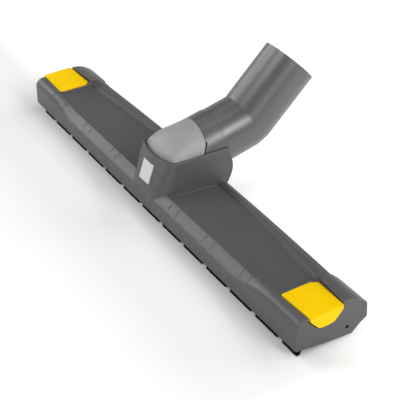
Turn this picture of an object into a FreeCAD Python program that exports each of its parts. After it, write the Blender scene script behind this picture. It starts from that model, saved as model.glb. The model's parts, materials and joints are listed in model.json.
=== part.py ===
import FreeCAD, Part
import math
import os

# Vacuum floor brush head. Millimetres. X runs along the head, Y to the back, Z up from the floor.
# The origin is on the floor, under the middle of the front brush strip.
# Depths are measured to the back from the housing's front face, heights from the floor.

V = FreeCAD.Vector

# Housing
housing_length = 400.0
wall = 2.2
skirt_height = 4.8
end_depth = 56.6
rear_bow = 3.0
shoulder_height = 20.5
end_crest_depth = 36.5
end_crest_height = 30.4
rear_shoulder_height = 22.0
rear_face_foot = 11.6
belly_rear_depth = 44.5
belly_height = 1.6
belly_front_depth = 23.5
belly_front_height = 2.4
block_length = 33.5
block_corner_radius = 12.0
end_edge_radius = 1.0
shoulder_arc_depth = 1.8
shoulder_arc_height = 25.0
shoulder_end_depth = 5.8
shoulder_end_height = 27.1
top_arc_height = 29.5
rear_arc_share = 0.55
rear_arc_height = 27.9
rear_shoulder_inset = 0.8
rear_foot_depth = 5.8
rear_foot_height = 7.7

# Top of the middle stretch: front band, trough and rear ridge
band_foot_height = 17.6
band_depth = 7.0
band_widening = 5.0
band_height = 23.2
band_end_depth = 8.0
band_end_height = 27.6
band_arc_share = 0.42
band_arc_rise = 0.52
band_arc_end_rise = 0.66
trough_lip = 6.0
trough_end_lip = 2.8
trough_front_height = 21.6
trough_rear_height = 20.0
ridge_depth = 51.8
ridge_bow = 10.1
ridge_step_height = 2.4
ridge_step_end_share = 0.3
ridge_step_width = 1.0
ridge_crest_share = 0.3
ridge_slope_share = 0.72
ridge_rear_inset = 0.3
ridge_crest_rise = 1.2
ridge_rear_height = 17.8
trough_end_rise = 3.6
rise_length = 40.0
groove_pitch = 48.0
groove_offset = -8.0
groove_pair = 10.5
groove_width = 0.8
groove_depth = 0.5

# Cavity under the housing, open to the floor
cavity_height = 17.4
cavity_band_drop = 2.6
cavity_rear_slope = 2.0
cavity_rear_drop = 2.4
cavity_foot_rise = 1.2
cavity_foot_depth = 7.0
cavity_foot_height = 9.6
belly_rim = 2.5
belly_rim_rise = 0.4

# Front and rear brush strips
brush_thickness = 3.6
brush_fit = 0.1
brush_root_height = 5.2
carrier_top = 10.6
tongue_depth = 1.3
tongue_low = 7.4
tongue_high = 8.8
brush_far_inset = 14.0
brush_near_inset = 0.5
brush_pitch = 31.43
brush_gap = 5.2
brush_pattern_centre = 7.6
brush_least = 12.0
rear_brush_depth = 37.8
rear_brush_inset = 32.0
toe_block_height = 4.2

# Insert frame
frame_inset = 10.4
frame_rail = 3.0
frame_top = 12.4
frame_bottom = 5.4
frame_rib = 3.0
frame_rib_pitch = 62.0
frame_rib_pairs = 2
ledge_reach = 2.0
ledge_bottom = 8.0
ledge_height = 2.0
ledge_half_width = 6.5

# Release keys
key_length = 31.7
key_front_depth = 9.5
key_rear_depth = 35.1
key_inner_rear_depth = 38.0
key_thickness = 2.4
key_inner_height = 25.5
key_inner_rear_height = 26.6
key_outer_height = 27.7
key_outer_rear_height = 29.3
key_corner_cut = 3.2
key_corner_depth = 5.0
key_gap = 0.8
dish_side = 0.2
dish_rise = 1.0
dish_reach = 4.0
dish_inner_rise = 2.6
dish_inner_drop = 0.3
tongue_thickness = 1.8
tongue_gap = 0.7
tongue_foot_height = 18.3
tongue_front_corner = 0.7
tongue_front_height = 24.7
tongue_foot_front = 16.3
tongue_foot_middle = 22.0
tongue_foot_rear = 28.4
tongue_foot_rise = 0.8
tongue_rear_height = 26.4
end_recess = 1.0
pivot_inset = 6.8
pivot_height = 22.4
barrel_radius = 2.6
pin_radius = 1.25
pin_grip = 3.0
pin_press = 0.02
pin_clearance = 0.05
pocket_floor = 19.4
arm_thickness = 2.0
arm_width = 9.0
arm_depth = 21.5
nose_reach = 2.0
nose_height = 2.5
nose_gap = 0.3
slot_gap = 1.0
spring_inset = 23.0
spring_depth = 22.0
spring_length = 14.0
spring_width = 8.0
spring_wire = 0.6
spring_gap = 0.3

# Rollers
roller_radius = 8.5
roller_depth = 40.3
roller_length = 11.0
roller_inset = 12.5
roller_gap = 0.5
roller_side_gap = 0.5
axle_radius = 1.5
axle_clearance = 0.05
axle_hole_depth = 1.0
roller_rib = 3.0
rib_foot = 4.8

# Neck moulded on the housing
neck_half_width = 24.7
neck_clearance = 0.4
neck_lean = 1.0 / 3.0
neck_front_depth = 0.4
neck_front_level = 26.0
neck_base = 14.0
neck_top = 54.0
neck_corner = 9.0
neck_sagitta_base = 0.4
neck_sagitta_top = 3.2
rim_front_height = 47.3
rim_slope = 0.03
rim_rear_depth = 60.5
cheek_rear_height = 43.0
front_bay_floor = 19.6
rear_opening_height = 21.3

# Tilting knuckle
tilt_depth = 42.5
tilt_height = 33.0
lobe_radius = 21.8
drum_radius = 18.0
drum_half_width = 19.4
drum_wall = 2.0
drum_gap = 0.3
cradle_wall = 2.1
journal_radius = 5.0
journal_clearance = 0.05
boss_radius = 8.0
boss_gap = 0.4
duct_half_width = 15.5
throat_front_angle = -125.0
throat_rear_angle = -55.0
window_front_angle = -145.0
window_rear_angle = -82.0
cradle_front_angle = -150.0
seal_angle = 6.0
seal_clearance = 0.1

# Collar, in line with the swivel axis
collar_angle = 15.0
collar_radius = 22.7
axis_depth = 68.5
axis_height = 48.38
collar_end = -6.2
duct_radius = 17.0
collar_front_wall = 2.5
seam_depth = 43.8
seam_corner_height = 55.7
seam_low_depth = 39.6
seam_low_height = 46.0
seam_gap = 0.3
side_gap = 1.3

# Swivel
swivel_gap = 0.3
socket_radius = 20.0
socket_length = 12.0
spigot_clearance = 0.08
spigot_bore = 17.6
spigot_length = 11.5
ring_place = 8.0
ring_width = 2.0
ring_outer = 21.2
ring_inner = 19.1
ring_groove = 18.8
ring_fit = 0.1
ring_split = 6.0
seal_place = 3.5
seal_width = 2.0
lip_clearance = 0.02

# Elbow
elbow_radius = 22.1
elbow_wall = 2.2
bend_distance = 22.15
bend_length = 6.2
upper_angle = 45.0
upper_length = 56.9
pipe_radius = 20.0
pipe_depth = 45.0

# Neck cover
cover_gap = 1.1
cover_wall = 2.0
cover_half_width = 22.4
cover_skirt = 41.0
cover_front_level = 48.4
cover_nose_length = 15.0
cover_spring_height = 42.0
cover_shoulder_across = 0.74
cover_shoulder_rise = 0.76
cover_shoulder_bend = 27.0
cover_rib_place = 11.0
cover_rib_width = 2.0
cover_rib_front = 20.0
cover_rib_low = 35.0
cover_arc_bend = 22.5
cover_room_top = 80.0
hollow_front_drop = 2.5
hollow_nose_inset = 3.0
hollow_nose_drop = 1.0
grip_count = 4
grip_pitch = 2.6
grip_width = 1.0
grip_height = 0.25
grip_last = 41.2
grip_half = 9.0

# Label plate
label_width = 14.0
label_height = 15.5
label_thickness = 0.9
label_gap = 0.3
label_level = 33.9
label_proud = 0.1

# Sizes worked out from the ones above
front_face = -(brush_thickness / 2 + brush_fit + wall)
half_length = housing_length / 2
frame_half = half_length - frame_inset
rear_brush_half = half_length - rear_brush_inset
brush_far_end = brush_far_inset - half_length
brush_near_end = half_length - brush_near_inset
block_inner = half_length - block_length
mid_end = block_inner + 1.5
cheek_inner = collar_radius + neck_clearance
far = 400.0


def at(depth):
    """Y of a depth measured from the housing's front face."""
    return front_face + depth


def box(x0, x1, d0, d1, z0, z1):
    """Block between two X values, two depths and two heights."""
    return Part.makeBox(x1 - x0, d1 - d0, z1 - z0, V(x0, at(d0), z0))


def cylinder_x(x0, x1, depth, height, radius):
    """Round bar along X."""
    return Part.makeCylinder(radius, x1 - x0, V(x0, at(depth), height), V(1, 0, 0))


def outline(points, x):
    """Closed wire across the head at one X. A point of four numbers is an arc's middle and end."""
    edges = []
    first = V(x, at(points[0][0]), points[0][1])
    last = first
    for point in points[1:]:
        end = V(x, at(point[-2]), point[-1])
        if len(point) == 4:
            middle = V(x, at(point[0]), point[1])
            edges.append(Part.Arc(last, middle, end).toShape())
        else:
            edges.append(Part.LineSegment(last, end).toShape())
        last = end
    if not last.isEqual(first, 1e-6):
        edges.append(Part.LineSegment(last, first).toShape())
    return Part.Wire(edges)


def prism_x(points, x0, x1):
    """Section across the head, drawn out along X."""
    return Part.Face(outline(points, x0)).extrude(V(x1 - x0, 0, 0))


def plan(points, z0, z1):
    """Straight sided plan of (x, depth) points, drawn out upwards."""
    corners = [V(x, at(depth), z0) for x, depth in points]
    return Part.Face(Part.makePolygon(corners + corners[:1])).extrude(V(0, 0, z1 - z0))


def mirrored(shape):
    """The same piece at the other end of the head."""
    return shape.mirror(V(0, 0, 0), V(1, 0, 0))


def both(shape):
    """The piece and its mirror image, fused."""
    return shape.fuse(mirrored(shape))


def joined(shapes):
    """One solid from several that touch or overlap."""
    result = shapes[0]
    for shape in shapes[1:]:
        result = result.fuse(shape)
    return result.removeSplitter()


def blend(start, end, share):
    """Value between two, by share."""
    return start + (end - start) * share


def polar(radius, degrees):
    """Depth and height of a point about the tilt axis."""
    angle = math.radians(degrees)
    return (tilt_depth + radius * math.cos(angle), tilt_height + radius * math.sin(angle))


def sector(inner, outer, start, end, half_width):
    """Part of a ring about the tilt axis, across the neck."""
    middle = (start + end) / 2
    points = [polar(inner, start), polar(outer, start), polar(outer, middle) + polar(outer, end)]
    points.append(polar(inner, end))
    points.append(polar(inner, middle) + polar(inner, start))
    return prism_x(points, -half_width, half_width)


def on_axis(station):
    """Point on the collar's axis, at a distance along it."""
    angle = math.radians(collar_angle)
    return V(0, at(axis_depth) + station * math.cos(angle), axis_height + station * math.sin(angle))


def collar_bar(radius, start, end):
    """Round bar along the collar's axis."""
    direction = on_axis(1) - on_axis(0)
    return Part.makeCylinder(radius, end - start, on_axis(start), direction)


def axis_level(depth):
    """Height of the collar's axis at a depth."""
    return axis_height + (depth - axis_depth) * math.tan(math.radians(collar_angle))


# Housing shell


def block_section():
    """Arched section of the end blocks."""
    return [
        (0, skirt_height),
        (0, shoulder_height),
        (shoulder_arc_depth, shoulder_arc_height, shoulder_end_depth, shoulder_end_height),
        (
            blend(shoulder_end_depth, end_crest_depth, 0.5), top_arc_height,
            end_crest_depth, end_crest_height,
        ),
        (
            blend(end_crest_depth, end_depth, rear_arc_share), rear_arc_height,
            end_depth - rear_shoulder_inset, rear_shoulder_height,
        ),
        (end_depth, rear_face_foot),
        (end_depth - rear_foot_depth, rear_foot_height),
        (belly_rear_depth, belly_height),
        (belly_front_depth, belly_front_height),
    ]


def mid_section(x):
    """Section of the middle stretch, with the band, the trough and the ridge."""
    along = abs(x) / mid_end
    reach = max(0.0, (abs(x) - (mid_end - rise_length)) / rise_length)
    rise = reach * reach * (3 - 2 * reach)
    foot = blend(band_foot_height, shoulder_height, rise)
    crest = blend(band_depth + band_widening * along**2, band_end_depth, rise)
    crest_height = blend(band_height, band_end_height, rise)
    lip = blend(trough_lip, trough_end_lip, rise)
    bulge = blend(band_arc_rise, band_arc_end_rise, rise)
    ridge = ridge_depth - ridge_bow * along**2
    ridge_top = ridge + ridge_step_width
    rear = end_depth + rear_bow * (1 - along**2)
    front_level = trough_front_height + trough_end_rise * rise
    rear_level = trough_rear_height + trough_end_rise * rise
    step = rear_level + ridge_step_height * blend(1, ridge_step_end_share, rise)
    crest_line = step + ridge_crest_rise
    return [
        (0, skirt_height),
        (0, foot),
        (band_arc_share * crest, blend(foot, crest_height, bulge), crest, crest_height),
        (crest + lip, front_level),
        (ridge, rear_level),
        (ridge_top, step),
        (blend(ridge_top, rear, ridge_crest_share), crest_line),
        (
            blend(ridge_top, rear, ridge_slope_share),
            blend(ridge_rear_height, crest_line, ridge_slope_share),
        ),
        (rear - ridge_rear_inset, ridge_rear_height),
        (rear, rear_face_foot),
        (rear - rear_foot_depth, rear_foot_height),
        (belly_rear_depth, belly_height),
        (belly_front_depth, belly_front_height),
    ]


def middle_body():
    """Middle stretch, lofted through sections along the head."""
    steps = (0.0, 0.36, 0.68, 0.82, 0.91, 1.0)
    places = [-mid_end * step for step in reversed(steps)] + [mid_end * step for step in steps[1:]]
    sections = [outline(mid_section(x), x) for x in places]
    return Part.makeLoft(sections, True, False)


def end_block():
    """Right end block, its inner rear corner rounded in plan."""
    block = prism_x(block_section(), block_inner, half_length)
    rim = [
        edge
        for edge in block.Edges
        if edge.BoundBox.XMin > half_length - 0.1 and edge.BoundBox.ZMax > rear_face_foot + 0.1
    ]
    block = block.makeFillet(end_edge_radius, rim)
    corner = block_corner_radius
    square = box(block_inner - 1, block_inner + corner, end_depth - corner, end_depth + 1, 0, far)
    centre = V(block_inner + corner, at(end_depth - corner), 0)
    round_part = Part.makeCylinder(corner, far, centre)
    low = box(-far, far, -far, far, -far, trough_rear_height)
    return block.cut(square.cut(round_part).cut(low))


def cavity():
    """Hollow under the top, open to the floor, between the end walls."""
    rear = end_depth - wall
    points = [
        (wall, -1),
        (wall, band_foot_height - cavity_band_drop),
        (band_depth, cavity_height),
        (rear - cavity_rear_slope, cavity_height),
        (rear, cavity_height - cavity_rear_drop),
        (rear, rear_face_foot + cavity_foot_rise),
        (end_depth - cavity_foot_depth, cavity_foot_height),
        (belly_rear_depth - belly_rim, belly_height + belly_rim_rise),
        (belly_rear_depth - belly_rim, -1),
    ]
    inner = half_length - wall
    return prism_x(points, -inner, inner)


def key_dish():
    """Sloping hollow in the block's top beside the right key."""
    inner = [
        (key_front_depth - dish_reach, key_inner_height + dish_inner_rise),
        (key_front_depth - key_gap, key_inner_height - dish_inner_drop),
        (key_inner_rear_depth + key_gap, key_inner_rear_height - dish_inner_drop),
        (key_inner_rear_depth + dish_reach, far),
        (key_front_depth - dish_reach, far),
    ]
    outer = [
        (key_front_depth - key_gap - dish_side, key_outer_height + dish_rise),
        (key_front_depth - key_gap, key_outer_height),
        (key_rear_depth + key_gap, key_outer_rear_height),
        (key_rear_depth + key_gap + dish_side, far),
        (key_front_depth - key_gap - dish_side, far),
    ]
    wires = [outline(inner, block_inner), outline(outer, half_length + 0.1)]
    return Part.makeLoft(wires, True, True)


def key_plan(grow):
    """Plan of the right key, grown by a gap."""
    inner = half_length - key_length - grow
    outer = half_length + 0.01
    return [
        (inner, key_front_depth + 0.4 - grow),
        (outer, key_front_depth - grow),
        (outer, key_rear_depth + grow),
        (inner + key_corner_cut, key_inner_rear_depth + grow),
        (inner, key_inner_rear_depth - key_corner_depth + grow),
    ]


def tongue_outline(grow):
    """Outline of the key's tongue on the end face, grown by a gap."""
    return [
        (key_front_depth - grow, far),
        (key_front_depth - grow, key_outer_height - 0.4),
        (key_front_depth + tongue_front_corner - grow, tongue_front_height - grow),
        (tongue_foot_front - grow * 0.5, tongue_foot_height + 0.1 - grow),
        (
            tongue_foot_middle, tongue_foot_height - 0.3 - grow,
            tongue_foot_rear + grow * 0.5, tongue_foot_height + tongue_foot_rise - grow,
        ),
        (key_rear_depth - 0.3 + grow, tongue_rear_height - grow),
        (key_rear_depth + grow, far),
    ]


def key_pocket():
    """Room for the right key and its travel, with the slot for its hook arm."""
    inner_face = half_length - wall
    room = plan(key_plan(key_gap), pocket_floor, far)
    room = room.common(box(0, inner_face, -far, far, 0, far))
    over_wall = plan(key_plan(key_gap), key_outer_height - key_thickness - 0.9, far)
    over_wall = over_wall.common(box(inner_face - 0.1, far, -far, far, 0, far))
    recess = prism_x(tongue_outline(key_gap), half_length - end_recess, half_length + 1)
    pivot = half_length - pivot_inset
    slot = box(
        pivot - arm_thickness / 2 - nose_reach - slot_gap,
        pivot + arm_thickness / 2 + 2 * slot_gap,
        arm_depth - arm_width / 2 - slot_gap,
        arm_depth + arm_width / 2 + slot_gap,
        cavity_height - 1,
        pocket_floor + 1,
    )
    return room.fuse(over_wall).fuse(recess).fuse(slot)


def pin_bar(radius, extra):
    """Hinge pin of the right key, or its holes."""
    pivot = half_length - pivot_inset
    front = key_front_depth - key_gap - pin_grip - extra
    rear = key_rear_depth + key_gap + pin_grip + extra
    return Part.makeCylinder(radius, rear - front, V(pivot, at(front), pivot_height), V(0, 1, 0))


def roller_well():
    """Room for the right roller in the belly."""
    x1 = half_length - roller_inset + roller_side_gap
    x0 = half_length - roller_inset - roller_length - roller_side_gap
    return cylinder_x(x0, x1, roller_depth, roller_radius, roller_radius + roller_gap)


def roller_rib_block():
    """Rib that carries the inner end of the right roller's axle."""
    x1 = half_length - roller_inset - roller_length - roller_side_gap
    front = rear_brush_depth + 2 * brush_fit
    return box(x1 - roller_rib, x1, front, end_depth - wall - 1, rib_foot, cavity_height + 1)


def axle_bar(radius, outer):
    """Axle of the right roller, or its hole."""
    x0 = half_length - roller_inset - roller_length - roller_side_gap - roller_rib
    return cylinder_x(x0, outer, roller_depth, roller_radius, radius)


def grooves():
    """Shallow paired grooves across the front band."""
    cuts = []
    tilt = math.degrees(math.atan2(band_height - band_foot_height, band_depth))
    for index in range(-3, 4):
        centre = groove_offset + index * groove_pitch
        if abs(centre) < neck_half_width:
            continue
        for side in (-0.5, 0.5):
            x = centre + side * groove_pair
            bar = Part.makeBox(groove_width, far, far, V(x - groove_width / 2, -far / 2, 0))
            bar.rotate(V(0, 0, 0), V(1, 0, 0), tilt)
            crest = band_depth + band_widening * (x / mid_end) ** 2
            bar.translate(V(0, at(crest), band_height - groove_depth))
            keep = box(x - 2, x + 2, 1.6, crest - 1.0, 0, far)
            cuts.append(bar.common(keep))
    return cuts


# Neck


def toe(inset_front, inset_side, low, high):
    """Toe shaped prism of the neck, leaning back, between two levels."""
    wires = []
    for level in (low, high):
        share = (level - neck_base) / (neck_top - neck_base)
        half = neck_half_width - inset_side
        corner = neck_corner - inset_side
        sagitta = blend(neck_sagitta_base, neck_sagitta_top, share)
        front = neck_front_depth + (level - neck_front_level) * neck_lean + inset_front
        shoulder = front + sagitta
        turn = corner * (1 - math.sqrt(0.5))
        rear = tilt_depth + lobe_radius + 10
        points = [
            V(half, at(rear), level),
            V(half, at(shoulder + corner), level),
            V(half - turn, at(shoulder + turn), level),
            V(half - corner, at(shoulder), level),
            V(0, at(front), level),
            V(corner - half, at(shoulder), level),
            V(turn - half, at(shoulder + turn), level),
            V(-half, at(shoulder + corner), level),
            V(-half, at(rear), level),
        ]
        edges = [
            Part.LineSegment(points[0], points[1]).toShape(),
            Part.Arc(points[1], points[2], points[3]).toShape(),
            Part.Arc(points[3], points[4], points[5]).toShape(),
            Part.Arc(points[5], points[6], points[7]).toShape(),
            Part.LineSegment(points[7], points[8]).toShape(),
            Part.LineSegment(points[8], points[0]).toShape(),
        ]
        wires.append(Part.Wire(edges))
    return Part.makeLoft(wires, True, True)


def rim_level(depth):
    """Height of the neck's rim."""
    return rim_front_height + (depth - neck_front_depth) * rim_slope


def cheek_side():
    """Side outline of the neck: rim, rear edge and the lobe round the tilt axis."""
    low_rear = math.sqrt(lobe_radius**2 - (tilt_height - rear_shoulder_height) ** 2)
    high_rear = math.sqrt(lobe_radius**2 - (cheek_rear_height - tilt_height) ** 2)
    return [
        (0, neck_base),
        (0, rim_level(0)),
        (rim_rear_depth, rim_level(rim_rear_depth)),
        (tilt_depth + high_rear, cheek_rear_height),
        (
            tilt_depth + lobe_radius,
            tilt_height,
            tilt_depth + low_rear,
            rear_shoulder_height,
        ),
        (end_depth + rear_bow - 1, cavity_height),
        (end_depth + rear_bow - 4, neck_base),
    ]


def neck_outside():
    """Neck before it is hollowed, with the cradle's underside."""
    body = toe(0, 0, neck_base, neck_top)
    shaped = body.common(prism_x(cheek_side(), -neck_half_width, neck_half_width))
    cradle = cylinder_x(
        -cheek_inner, cheek_inner, tilt_depth, tilt_height, drum_radius + drum_gap + cradle_wall
    )
    cradle = cradle.common(box(-far, far, -far, far, -far, cavity_height + 1))
    return shaped.cut(box(-far, far, -far, far, -far, cavity_height - 0.1)).fuse(cradle)


def neck_inside():
    """Room between the cheeks: front bay for the cover, the drum's bore and the rear opening."""
    bore = drum_radius + drum_gap
    side = neck_half_width - cheek_inner
    bay = toe(wall, side, front_bay_floor, neck_top)
    bay = bay.common(box(-far, far, 0, tilt_depth, 0, far))
    bay = bay.cut(sector(1.0, bore + cradle_wall, cradle_front_angle, -90, cheek_inner + 1))
    rear = box(-cheek_inner, cheek_inner, tilt_depth - 0.1, far, rear_opening_height, far)
    drum = cylinder_x(-cheek_inner, cheek_inner, tilt_depth, tilt_height, bore)
    return bay.fuse(rear).fuse(drum)


def throat():
    """Way up from the cavity through the cradle into the drum."""
    return sector(
        drum_radius - 2,
        drum_radius + cradle_wall + 6,
        throat_front_angle,
        throat_rear_angle,
        duct_half_width,
    )


def boss():
    """Right bearing boss inside the cheek."""
    return cylinder_x(
        drum_half_width + boss_gap, cheek_inner + 0.3, tilt_depth, tilt_height, boss_radius
    )


def journal_hole():
    """Blind bore of the right boss."""
    return cylinder_x(
        drum_half_width,
        cheek_inner - 0.1,
        tilt_depth,
        tilt_height,
        journal_radius + journal_clearance,
    )


def seal_seat(start):
    """Seat of a seal strip in the cradle."""
    bore = drum_radius + drum_gap
    return sector(bore - 0.5, bore + 1.0, start, start + seal_angle, duct_half_width + 1.5)


def tilt_seal(start):
    """Seal strip between the cradle and the drum."""
    bore = drum_radius + drum_gap
    gap = math.degrees(brush_fit / bore)
    half = duct_half_width + 1.5 - brush_fit
    return sector(
        drum_radius + seal_clearance, bore + 0.9, start + gap, start + seal_angle - gap, half
    )


front_seal_start = throat_front_angle - seal_angle - 4
rear_seal_start = throat_rear_angle + 4


def label_frame(width, height, low, high):
    """Block that lies on the leaning front of the neck at the label."""
    lean = math.degrees(math.atan(neck_lean))
    block = Part.makeBox(width, high - low, height, V(-width / 2, low, -height / 2))
    block.rotate(V(0, 0, 0), V(1, 0, 0), -lean)
    depth = neck_front_depth + (label_level - neck_front_level) * neck_lean
    block.translate(V(0, at(depth), label_level))
    return block


def housing():
    """One moulding: shell, end blocks and neck."""
    block = end_block()
    body = joined([middle_body(), block, mirrored(block), neck_outside()])
    body = body.cut(cavity())
    pocket = key_dish().fuse(key_pocket())
    body = body.cut(both(pocket))
    rib = roller_rib_block()
    body = body.fuse(rib).fuse(mirrored(rib))
    body = body.cut(roller_well()).cut(mirrored(roller_well()))
    cradle = sector(
        drum_radius, drum_radius + drum_gap + cradle_wall, throat_front_angle - 12,
        throat_rear_angle + 12, cheek_inner,
    )
    body = body.fuse(cradle.common(box(-far, far, 0, end_depth - wall, 0, cavity_height + 1)))
    body = body.cut(neck_inside()).cut(throat())
    body = body.fuse(boss()).fuse(mirrored(boss()))
    body = body.cut(journal_hole()).cut(mirrored(journal_hole()))
    pins = pin_bar(pin_radius + pin_press, 0.1)
    axles = axle_bar(axle_radius + pin_press, half_length + 1)
    body = body.cut(both(pins)).cut(both(axles))
    body = body.cut(label_frame(label_width + 2 * label_gap, label_height + 2 * label_gap,
                                -5, label_thickness - label_proud))
    for start in (front_seal_start, rear_seal_start):
        body = body.cut(seal_seat(start))
    for cut in grooves():
        body = body.cut(cut)
    return body


# Knuckle with drum and collar


def seam_side(gap, sideways):
    """Region behind the seam between cover and collar, as a side outline."""
    return [
        (seam_depth + gap, far),
        (seam_depth + gap, seam_corner_height),
        (seam_depth + gap + sideways, seam_corner_height - 0.6),
        (seam_low_depth + gap + sideways, seam_low_height),
        (seam_low_depth + gap + sideways, -far),
        (far, -far),
        (far, far),
    ]


def knuckle():
    """Collar tube, drum and journals in one moulding."""
    low = -40.0
    behind = prism_x(seam_side(seam_gap, side_gap - seam_gap), -far, far)
    collar = collar_bar(collar_radius, low, collar_end).common(behind)
    drum = cylinder_x(-drum_half_width, drum_half_width, tilt_depth, tilt_height, drum_radius)
    body = collar.fuse(drum)
    notch = cylinder_x(
        drum_half_width, far, tilt_depth, tilt_height, boss_radius + boss_gap
    )
    body = body.cut(both(notch))
    inner_side = seam_side(seam_gap + collar_front_wall, side_gap - seam_gap)
    duct = collar_bar(duct_radius, low, 0).common(prism_x(inner_side, -far, far))
    inner_drum = cylinder_x(
        drum_wall - drum_half_width,
        drum_half_width - drum_wall,
        tilt_depth,
        tilt_height,
        drum_radius - drum_wall,
    )
    window = sector(
        drum_radius - drum_wall - 4,
        drum_radius + 4,
        window_front_angle,
        window_rear_angle,
        duct_half_width,
    )
    body = body.cut(duct).cut(inner_drum).cut(window)
    journal = cylinder_x(
        drum_half_width - 0.5, cheek_inner - 0.5, tilt_depth, tilt_height, journal_radius
    )
    body = body.fuse(both(journal))
    socket = collar_bar(socket_radius, collar_end - socket_length, collar_end + 1)
    room = collar_bar(ring_outer, collar_end - ring_place - ring_width, collar_end - seal_place)
    return body.cut(socket).cut(room).removeSplitter()


def swivel_ring():
    """Split ring that holds the elbow's spigot in the collar."""
    end = collar_end - ring_place - ring_fit / 2
    start = end - ring_width + ring_fit
    ring = collar_bar(ring_outer - ring_fit, start, end).cut(collar_bar(ring_inner, start, end))
    split = Part.makeBox(ring_split, far, far, V(-ring_split / 2, 0, -far))
    return ring.cut(split.common(collar_bar(far / 4, start - 1, end + 1)).common(
        box(-far, far, -far, far, -far, axis_level(axis_depth) - 8)))


def swivel_seal():
    """Lip seal round the spigot."""
    end = collar_end - seal_place
    start = end - seal_width
    lip = socket_radius - lip_clearance
    return collar_bar(ring_outer, start, end).cut(collar_bar(lip, start, end))


# Elbow


def bend_path(start, bend, end_length):
    """Points of the elbow's centre line: lower run, middle run if there is one, upper run."""
    turn_point = on_axis(bend_distance)
    lower = on_axis(1) - on_axis(0)
    angle = math.radians(upper_angle)
    upper = V(0, math.cos(angle), math.sin(angle))
    turn = [turn_point - lower * (bend / 2), turn_point + upper * (bend / 2)]
    if bend == 0:
        turn = [turn_point]
    return [on_axis(start)] + turn + [turn_point + upper * end_length]


def bent_bar(radius, start, bend, end_length):
    """Round bar along the elbow, mitred at its turns."""
    points = bend_path(start, bend, end_length)
    spine = Part.makePolygon(points)
    ring = Part.Wire(Part.makeCircle(radius, points[0], points[1] - points[0]))
    return spine.makePipeShell([ring], True, False, 1)


def elbow():
    """Bent tube with the swivel's spigot below and the pipe socket above."""
    start = collar_end + swivel_gap
    outer = bent_bar(elbow_radius, start, bend_length, upper_length)
    bore = elbow_radius - elbow_wall
    inner = bent_bar(bore - 0.4, start + 4, 0, upper_length - 1)
    spigot_radius = socket_radius - spigot_clearance
    spigot = collar_bar(spigot_radius, start - spigot_length, start + 1)
    body = outer.fuse(spigot).cut(inner)
    body = body.cut(collar_bar(spigot_bore, start - spigot_length - 1, start + 4.5))
    groove_start = collar_end - ring_place - ring_width - ring_fit
    groove_end = collar_end - ring_place + ring_fit
    groove = collar_bar(far / 8, groove_start, groove_end)
    groove = groove.cut(collar_bar(ring_groove, groove_start, groove_end))
    body = body.cut(groove)
    angle = math.radians(upper_angle)
    direction = V(0, math.cos(angle), math.sin(angle))
    mouth = on_axis(bend_distance) + direction * upper_length
    pipe = Part.makeCylinder(pipe_radius, pipe_depth + 1, mouth + direction, direction * -1)
    return body.cut(pipe)


# Neck cover


def crest_level(depth):
    """Height of the cover along its middle line, in line with the collar's crest at the back."""
    straight = axis_level(depth) + collar_radius / math.cos(math.radians(collar_angle))
    front = cover_front()
    share = min(1.0, (depth - front) / cover_nose_length)
    start = axis_level(front) + collar_radius / math.cos(math.radians(collar_angle))
    drop = start - cover_front_level
    return straight - drop * (1 - share) ** 2 if share < 1 else straight


def cover_section(depth):
    """Arch across the cover at one depth: a top arc between two shoulder arcs."""
    share = min(1.0, max(0.0, (seam_depth - depth) / (seam_depth - cover_front())))
    half = blend(collar_radius, cover_half_width, share)
    spring = blend(axis_level(seam_depth), cover_spring_height, share)
    crest = crest_level(depth)
    rise = crest - spring
    across = half * blend(math.sqrt(0.5), cover_shoulder_across, share)
    up = spring + rise * blend(math.sqrt(0.5), cover_shoulder_rise, share)
    bend = math.radians(blend(cover_arc_bend, cover_shoulder_bend, share))
    side = V(half, at(depth), spring)
    shoulder = V(across, at(depth), up)
    middle = V(half * math.cos(bend), at(depth), spring + rise * math.sin(bend))
    left = [V(-point.x, point.y, point.z) for point in (side, middle, shoulder)]
    low_right = V(half, at(depth), cover_skirt - 4)
    low_left = V(-half, at(depth), cover_skirt - 4)
    edges = [
        Part.Arc(side, middle, shoulder).toShape(),
        Part.Arc(shoulder, V(0, at(depth), crest), left[2]).toShape(),
        Part.Arc(left[2], left[1], left[0]).toShape(),
        Part.LineSegment(left[0], low_left).toShape(),
        Part.LineSegment(low_left, low_right).toShape(),
        Part.LineSegment(low_right, side).toShape(),
    ]
    return Part.Wire(edges)


def cover_form():
    """Outside of the bonnet as a full form."""
    loft = Part.makeLoft([cover_section(depth) for depth in cover_places()], True, False)
    side = neck_half_width - cheek_inner + cover_gap
    return loft.common(toe(wall + cover_gap, side, cover_skirt - 4, cover_room_top))


def cover_front():
    """Depth of the bonnet's front edge at the rim."""
    lean = (rim_front_height - neck_front_level) * neck_lean
    return neck_front_depth + lean + wall + cover_gap


def cover_places():
    """Depths of the bonnet's sections."""
    front = cover_front()
    return [front - 1.0, front + cover_nose_length / 2, front + cover_nose_length, seam_depth]


def cover_hollow():
    """Room inside the bonnet: a round vault with a sloping front."""
    side = neck_half_width - cheek_inner + cover_gap
    vault = collar_bar(collar_radius - cover_wall, -far, 0)
    inner_half = cover_half_width - cover_wall
    low = box(-inner_half, inner_half, -far, far, 0, cover_spring_height)
    front = cover_front() + cover_wall
    nose_depth = front + cover_nose_length - hollow_nose_inset
    section = [
        (front, 0),
        (front, crest_level(front + 1) - cover_wall - hollow_front_drop),
        (nose_depth, crest_level(nose_depth) - cover_wall - hollow_nose_drop),
        (seam_depth, crest_level(seam_depth) - cover_wall),
        (far, crest_level(seam_depth)),
        (far, 0),
    ]
    slope = prism_x(section, -far, far)
    nose = toe(wall + cover_gap + cover_wall, side + cover_wall, cover_skirt - 4, cover_room_top)
    return vault.fuse(low).common(slope).common(nose)


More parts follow.
